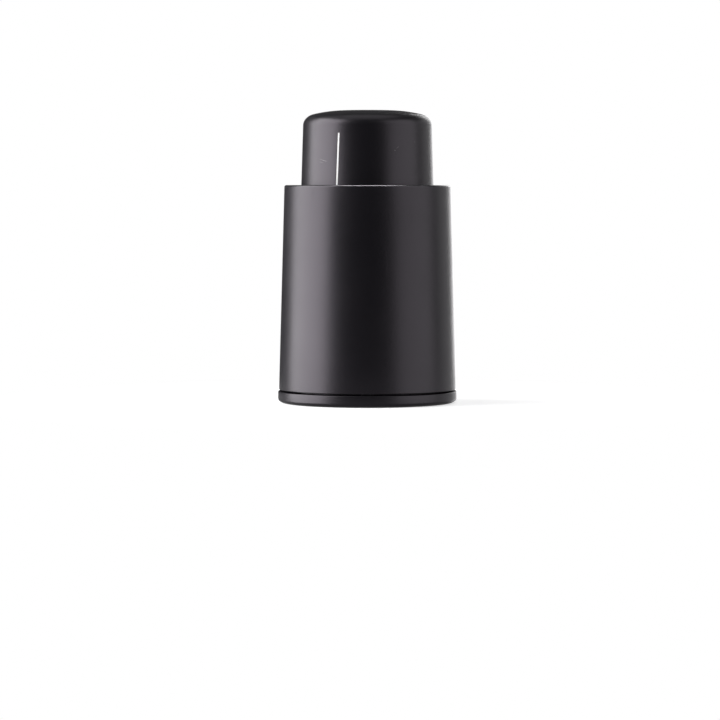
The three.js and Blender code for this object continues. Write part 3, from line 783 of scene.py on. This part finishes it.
def make_valve_disc(material):
    """Soft disc that covers the port, with a shallow dimple in its top."""
    bottom, top = low("inlet_valve_disc").z, high("inlet_valve_disc").z
    radius = high("inlet_valve_disc").x
    outline = [
        (0, bottom),
        (radius, bottom, 0.3),
        (radius, top, 0.3),
        (1.1, top, 0.2),
        (0.7, top - 0.3, 0.2),
        (0, top - 0.3),
    ]
    disc = turned("suction_valve_disc", outline)
    return finish_piece(disc, "inlet_valve", "inlet_valve_disc", material)


def make_valve_cage(material):
    """Cage over the disc, clamped by its flange, with windows in its wall and holes in its roof."""
    top = high("inlet_valve_cage").z
    foot = low("inlet_valve_cage").z
    flange = high("inlet_valve_cage").x
    roof = high("inlet_valve_disc").z + 1.2
    outline = [
        (0, roof),
        (CAGE_WALL_INNER, roof, 0.2),
        (CAGE_WALL_INNER, foot, 0.15),
        (CAGE_WALL_OUTER, foot, 0.15),
        (CAGE_WALL_OUTER, CAGE_FLANGE_BOTTOM, 0.15),
        (flange, CAGE_FLANGE_BOTTOM, 0.15),
        (flange, BODY_TOP, 0.15),
        (CAGE_WALL_OUTER, BODY_TOP, 0.2),
        (CAGE_WALL_OUTER, top, 0.4),
        (0, top),
    ]
    cage = turned("suction_valve_cage", outline)
    openings = bmesh.new()
    for hole in around(4, 45):
        extrude(openings, round_post(CAGE_HOLE), roof - 0.5, top + 1, upright(hole, CAGE_HOLE_CIRCLE))
    for window in around(4):
        section = rounded_box(-1.3, 1.3, CAGE_WALL_INNER - 0.6, CAGE_WALL_OUTER + 0.6, 0)
        extrude(openings, section, BODY_TOP + 0.2, roof - 0.1, upright(window))
    combined(cage, openings, "DIFFERENCE")
    return finish_piece(cage, "housing", "inlet_valve_cage", material)


def make_o_ring(material):
    bottom, top = low("cylinder_o_ring").z, high("cylinder_o_ring").z
    radius = (top - bottom) / 2
    outline = circle_outline(high("cylinder_o_ring").x - radius, (bottom + top) / 2, radius)
    ring = turned("cylinder_seal_ring", outline)
    return finish_piece(ring, "housing", "cylinder_o_ring", material)


def make_cylinder(material):
    """Flanged cylinder with a lead-in for the piston's seal and a fillet above the flange."""
    bottom, top = low("pump_cylinder").z, high("pump_cylinder").z
    flange = high("pump_cylinder").x
    flange_top = bottom + CYLINDER_FLANGE
    outline = [
        (CYLINDER_BORE, bottom, 0.2),
        (flange, bottom, 0.3),
        (flange, flange_top, 0.4),
        (CYLINDER_RADIUS, flange_top, 0.5),
        (CYLINDER_RADIUS, top, 0.2),
        (CYLINDER_BORE + 0.5, top, 0.1),
        (CYLINDER_BORE, top - 1, 0.3),
    ]
    tube = turned("pump_barrel", outline, FINE, longest=8)
    holes = bmesh.new()
    for angle in around(3):
        extrude(holes, round_post(SCREW_HOLE), bottom - 1, flange_top + 1, upright(angle, SCREW_CIRCLE))
    combined(tube, holes, "DIFFERENCE")
    return finish_piece(tube, "housing", "pump_cylinder", material)


# ---- Screws ---------------------------------------------------------------------------------------


def thread(pitch, depth, start, end):
    """Relief of a V thread between two heights, fading out at both ends."""

    def relief(height, angle):
        if not start < height < end:
            return 0
        phase = (height / pitch + angle / (2 * math.pi)) % 1
        fade = min(1, (height - start) / pitch, (end - height) / pitch)
        return depth * fade * abs(2 * phase - 1)

    return relief


def screw(name, shank, head, length, pitch):
    """Pan-head screw with a V thread and a cross recess; its head's underside is at height 0."""
    head_height = SCREW_HEAD_HEIGHT
    outline = [
        (0, -length),
        (shank * 0.45, -length, 0.1),
        (shank, -length + 1.2),
        (shank, 0),
        (head, 0, 0.12),
        (head, head_height * 0.5, 0.2),
        (head * 0.62, head_height, 0.8),
        (0, head_height),
    ]
    relief = thread(pitch, shank * 0.22, -length + 0.6, -0.3)
    made = turned(name, outline, COARSE, longest=pitch / 5, relief=relief)
    mouth, floor = head * 0.5, head * 0.32
    mouth_height, floor_height = head_height + 0.2, head_height * 0.35
    arm = [(-mouth, mouth_height), (mouth, mouth_height), (floor, floor_height), (-floor, floor_height)]
    for angle in (45, 135):
        recess = bmesh.new()
        extrude(recess, arm, -head * 0.13, head * 0.13, sideways(math.radians(angle)))
        combined(made, recess, "DIFFERENCE")
    return made


def make_body_screws(material):
    for number in (1, 2, 3):
        node = f"body_screw_{number}"
        bottom, top = low(node), high(node)
        head = (top.x - bottom.x) / 2
        seat = top.z - SCREW_HEAD_HEIGHT
        made = screw(f"flange_screw_{number}", 0.95, head, seat - bottom.z, 0.7)
        middle = (top + bottom) / 2
        made.data.transform(Matrix.Translation(Vector((middle.x, middle.y, seat)) * MM))
        finish_piece(made, "housing", node, material)


def make_piston_screw(material):
    bottom, top = low("piston_screw"), high("piston_screw")
    seat = bottom.z + SCREW_HEAD_HEIGHT
    made = screw("rod_screw", 1.3, top.x, top.z - seat, 0.8)
    flip = Matrix.Rotation(math.pi, 4, "X")
    made.data.transform(Matrix.Translation((0, 0, seat * MM)) @ flip)
    return finish_piece(made, "plunger", "piston_screw", material)


def make_washer(name, node, body, inner, material):
    """Flat ring with softened edges in place of a CAD washer."""
    bottom, top, radius = low(node).z, high(node).z, high(node).x
    soft = (top - bottom) * 0.3
    outline = [(inner, bottom, soft), (radius, bottom, soft), (radius, top, soft), (inner, top, soft)]
    return finish_piece(turned(name, outline), body, node, material)


# ---- Piston and rod -------------------------------------------------------------------------------


def make_piston(material):
    """Piston with a pocket for its screw, a groove for the cup seal and six exhaust ports."""
    bottom, top = low("piston_head").z, high("piston_head").z
    radius = high("piston_head").x
    pocket_roof = bottom + 1.8
    groove_bottom = bottom + 0.6
    groove_top = bottom + 2.8
    face = bottom + 3.6
    outline = [
        (PISTON_BORE, pocket_roof, 0.15),
        (PISTON_POCKET, pocket_roof, 0.3),
        (PISTON_POCKET, bottom, 0.3),
        (radius, bottom, 0.5),
        (radius, groove_bottom, 0.1),
        (PISTON_GROOVE, groove_bottom, 0.2),
        (PISTON_GROOVE, groove_top, 0.2),
        (radius, groove_top, 0.1),
        (radius, face, 0.3),
        (PISTON_NECK, face, 0.3),
        (PISTON_NECK, top, 0.2),
        (PISTON_BORE, top, 0.15),
    ]
    piston = turned("piston_disc", outline)
    ports = bmesh.new()
    for angle in around(6, 30):
        section = round_post(EXHAUST_PORT, 24)
        extrude(ports, section, bottom - 1, face + 1, upright(angle, EXHAUST_PORT_CIRCLE))
    combined(piston, ports, "DIFFERENCE")
    return finish_piece(piston, "plunger", "piston_head", material)


def make_cup_seal(material):
    """Lip seal that opens upwards, with a thin flared lip."""
    bottom, top = low("piston_cup_seal").z, high("piston_cup_seal").z
    lip = high("piston_cup_seal").x
    floor = bottom + 0.7
    inner_wall = CUP_SEAL_BORE + 0.4
    outline = [
        (CUP_SEAL_BORE, bottom, 0.2),
        (lip - 0.4, bottom, 0.25),
        (lip, top - 0.4, 0.1),
        (lip, top, 0.12),
        (lip - 0.35, top, 0.12),
        (lip - 0.7, floor, 0.15),
        (inner_wall, floor, 0.1),
        (inner_wall, top, 0.12),
        (CUP_SEAL_BORE, top, 0.12),
    ]
    seal = turned("piston_lip_seal", outline)
    return finish_piece(seal, "plunger", "piston_cup_seal", material)


def make_rod(material):
    """Rod with its foot, the spring plate with a pilot rim, and four gussets between them."""
    bottom, top = low("piston_rod").z, high("piston_rod").z
    plate = high("piston_rod").x
    bore_top = bottom + 8.5
    foot_top = bottom + 1.2
    rim_outer = SPRING_RADIUS - SPRING_WIRE - 0.4
    rim_inner = rim_outer - 1.1
    under = PLATE_UNDERSIDE
    outline = [
        (0, bore_top),
        (ROD_BORE, bore_top, 0.3),
        (ROD_BORE, bottom, 0.2),
        (ROD_FOOT, bottom, 0.3),
        (ROD_FOOT, foot_top, 0.4),
        (ROD_RADIUS, foot_top, 0.5),
        (ROD_RADIUS, under, 0.6),
        (rim_inner, under, 0.3),
        (rim_inner, under - 1, 0.25),
        (rim_outer, under - 1, 0.25),
        (rim_outer, under, 0.3),
        (plate, under, 0.3),
        (plate, top, 0.3),
        (0, top),
    ]
    rod = turned("plunger_rod", outline, FINE)
    gussets = bmesh.new()
    inner, outer, foot = ROD_RADIUS - 0.6, rim_inner - 1.1, under - 8
    web = [
        (inner, under + 0.5),
        (inner, foot),
        (ROD_RADIUS, foot),
        (outer, under - 0.6),
        (outer, under + 0.5),
    ]
    for angle in around(4):
        extrude(gussets, web, -0.7, 0.7, sideways(angle))
    combined(rod, gussets, "UNION")
    return finish_piece(rod, "plunger", "piston_rod", material)


# ---- Return spring --------------------------------------------------------------------------------


def make_spring(material):
    """Round wire coil with closed turns and ground ends; it shortens as the cap is pressed."""
    bottom, top = low("return_spring").z, high("return_spring").z
    turns = SPRING_TURNS
    closed_pitch = 1.5
    ground = 0.25
    start = bottom + SPRING_WIRE - ground
    rise = top - bottom - 2 * SPRING_WIRE + 2 * ground
    open_pitch = (rise - 2 * closed_pitch) / (turns - 2)
    steps = 48 * turns
    sides = 14
    built = bmesh.new()
    rings = []
    for step in range(steps + 1):
        turn = turns * step / steps
        open_turns = min(max(turn - 1, 0), turns - 2)
        height = start + open_turns * open_pitch + (turn - open_turns) * closed_pitch
        angle = 2 * math.pi * turn
        across = Vector((math.cos(angle), math.sin(angle), 0))
        ring = []
        for side in range(sides):
            around_wire = 2 * math.pi * side / sides
            point = across * (SPRING_RADIUS + SPRING_WIRE * math.cos(around_wire))
            z = height + SPRING_WIRE * math.sin(around_wire)
            point.z = min(max(z, bottom), top)
            ring.append(built.verts.new(point * MM))
        rings.append(ring)
    for first, second in zip(rings, rings[1:]):
        for side in range(sides):
            bridge(built, second, first, side, (side + 1) % sides)
    built.faces.new(rings[0])
    built.faces.new(rings[-1][::-1])
    bmesh.ops.recalc_face_normals(built, faces=built.faces)
    spring = finish_piece(add_object("lift_spring", built), "housing", "return_spring", material)
    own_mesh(spring)
    return spring


# ---- Stage, in metres -----------------------------------------------------------------------------

FLOOR_RADIUS = 0.5
FLOOR_HEIGHT = -0.00002
FLOOR_SOLID = 0.03
FLOOR_CLEAR = 0.1
FLOOR_BOUNCE_LOSS = 0.8
WORLD_FILL = 0.07

LIGHTS = [
    # name, azimuth (degrees), distance, height, width, tall, radiance
    ("left_box", -86, 0.6, 0.15, 0.78, 1.04, 5.2),
    ("right_box", 67, 0.7, 0.17, 0.82, 1.06, 1.3),
    ("back_box", 161, 0.8, 0.1, 0.30, 0.7, 2.6),
    ("back_fill", 127, 0.8, 0.1, 0.50, 0.7, 0.55),
    ("top_box", 0, 0.01, 1.0, 0.9, 0.9, 0.55),
]
RIM_LIGHT = ("rim_box", 180, 0.15, 1.0, 1.0, 0.4, 2.1)
RIM_SPREAD = math.radians(50)
LIT_HEIGHT = 0.035

LENS = 168
SENSOR_WIDTH = 36
CAMERA_DISTANCE = 0.840
CAMERA_ASIDE = -0.00184
CAMERA_TILT = math.radians(2.98)


def make_floor():
    """Pale floor that fades into the white surroundings and bounces little light back at the object."""
    bpy.ops.mesh.primitive_circle_add(
        vertices=96, radius=FLOOR_RADIUS, fill_type="NGON", location=(0, 0, FLOOR_HEIGHT)
    )
    floor = bpy.context.object
    floor.name = "floor"
    look = Look("pale_floor", Roughness=0.9, Emission_Color=(1, 1, 1, 1), Emission_Strength=0.6)
    look.shader.inputs["Specular IOR Level"].default_value = 0.1
    look.set("Base Color", look.colours(look.noise(30), (0.85, 0.85, 0.86), (0.87, 0.87, 0.88)))
    length = look.node("ShaderNodeVectorMath", operation="LENGTH")
    look.link(look.place, length.inputs[0])
    faded = look.ramp(length.outputs["Value"], FLOOR_SOLID, FLOOR_CLEAR, 0, 1)
    beneath = look.node("ShaderNodeNewGeometry").outputs["Backfacing"]
    seen = look.node("ShaderNodeLightPath").outputs["Is Camera Ray"]
    dimmed = look.maths("MULTIPLY", look.maths("SUBTRACT", 1, seen), FLOOR_BOUNCE_LOSS)
    hidden = look.maths("MAXIMUM", look.maths("MAXIMUM", faded, beneath), dimmed)
    mix = look.node("ShaderNodeMixShader")
    look.link(hidden, mix.inputs["Fac"])
    look.link(look.shader.outputs["BSDF"], mix.inputs[1])
    look.link(look.node("ShaderNodeBsdfTransparent").outputs["BSDF"], mix.inputs[2])
    look.link(mix.outputs["Shader"], look.tree.nodes["Material Output"].inputs["Surface"])
    floor.data.materials.append(look.material)


def make_world():
    """White to the camera and dim to everything else, so that black plastic stays black."""
    world = bpy.data.worlds.new("studio")
    bpy.context.scene.world = world
    world.use_nodes = True
    tree = world.node_tree
    tree.nodes["Background"].inputs["Color"].default_value = (1, 1, 1, 1)
    path = tree.nodes.new("ShaderNodeLightPath")
    strength = tree.nodes.new("ShaderNodeMapRange")
    strength.inputs["To Min"].default_value = WORLD_FILL
    tree.links.new(path.outputs["Is Camera Ray"], strength.inputs["Value"])
    tree.links.new(strength.outputs["Result"], tree.nodes["Background"].inputs["Strength"])


def soft_light(name, azimuth, distance, height, width, tall, radiance):
    """Area light aimed at the object. Azimuth is from the front towards +X, in degrees."""
    light = bpy.data.lights.new(name, "AREA")
    light.shape = "RECTANGLE"
    light.size = width
    light.size_y = tall
    light.energy = radiance * math.pi * width * tall
    lamp = bpy.data.objects.new(name, light)
    angle = math.radians(azimuth)
    lamp.location = (distance * math.sin(angle), -distance * math.cos(angle), height)
    aim = Vector((0, 0, LIT_HEIGHT)) - lamp.location
    lamp.rotation_euler = aim.to_track_quat("-Z", "Y").to_euler()
    bpy.context.scene.collection.objects.link(lamp)
    return lamp


def light_rim(sleeve):
    """Narrow overhead beam on the sleeve only, for the thin bright line along its top edge."""
    lamp = soft_light(*RIM_LIGHT)
    lamp.data.spread = RIM_SPREAD
    lit = bpy.data.collections.new("lit_by_rim_box")
    lit.objects.link(sleeve)
    lamp.light_linking.receiver_collection = lit


def make_camera():
    """Camera level with the sleeve's rim, looking slightly down."""
    data = bpy.data.cameras.new("camera")
    data.lens = LENS
    data.sensor_width = SENSOR_WIDTH
    camera = bpy.data.objects.new("camera", data)
    camera.location = (CAMERA_ASIDE, -CAMERA_DISTANCE, SHELL_TOP * MM)
    camera.rotation_euler = (math.pi / 2 - CAMERA_TILT, 0, 0)
    bpy.context.scene.collection.objects.link(camera)
    bpy.context.scene.camera = camera


# ---- Assembly -------------------------------------------------------------------------------------

make_camera()
make_world()
for light in LIGHTS:
    soft_light(*light)
make_floor()

black = shell_satin()
nylon = moulded_black()
acetal = milky_acetal()
grey_silicone = rubber("grey_silicone", (0.11, 0.115, 0.12), (0.16, 0.165, 0.17), 0.58)
pale_silicone = rubber(
    "pale_silicone", (0.55, 0.57, 0.55), (0.66, 0.68, 0.66), 0.45, Transmission_Weight=0.25
)
screw_steel = steel("screw_steel", 0.28, (1, 1, 6))
wire_steel = steel("wire_steel", 0.24, (1, 1, 0.4))

light_rim(make_shell(black))
make_ring(black)
make_cap(cap_satin())
make_index_line(index_paint())
make_neck_seal(grey_silicone)
make_inner_body(nylon)
make_valve_disc(pale_silicone)
make_valve_cage(acetal)
make_o_ring(grey_silicone)
make_cylinder(acetal)
make_body_screws(screw_steel)
make_piston(acetal)
make_cup_seal(grey_silicone)
make_piston_screw(screw_steel)
make_rod(nylon)
make_spring(wire_steel)
make_washer("exhaust_flap_ring", "exhaust_flap", "exhaust_valve", FLAP_BORE, pale_silicone)
make_washer("rod_screw_washer", "piston_screw_washer", "plunger", PISTON_BORE, screw_steel)
make_washer("cap_thrust_washer", "thrust_washer", "plunger", 8, acetal)

bpy.context.scene.view_settings.view_transform = "Standard"
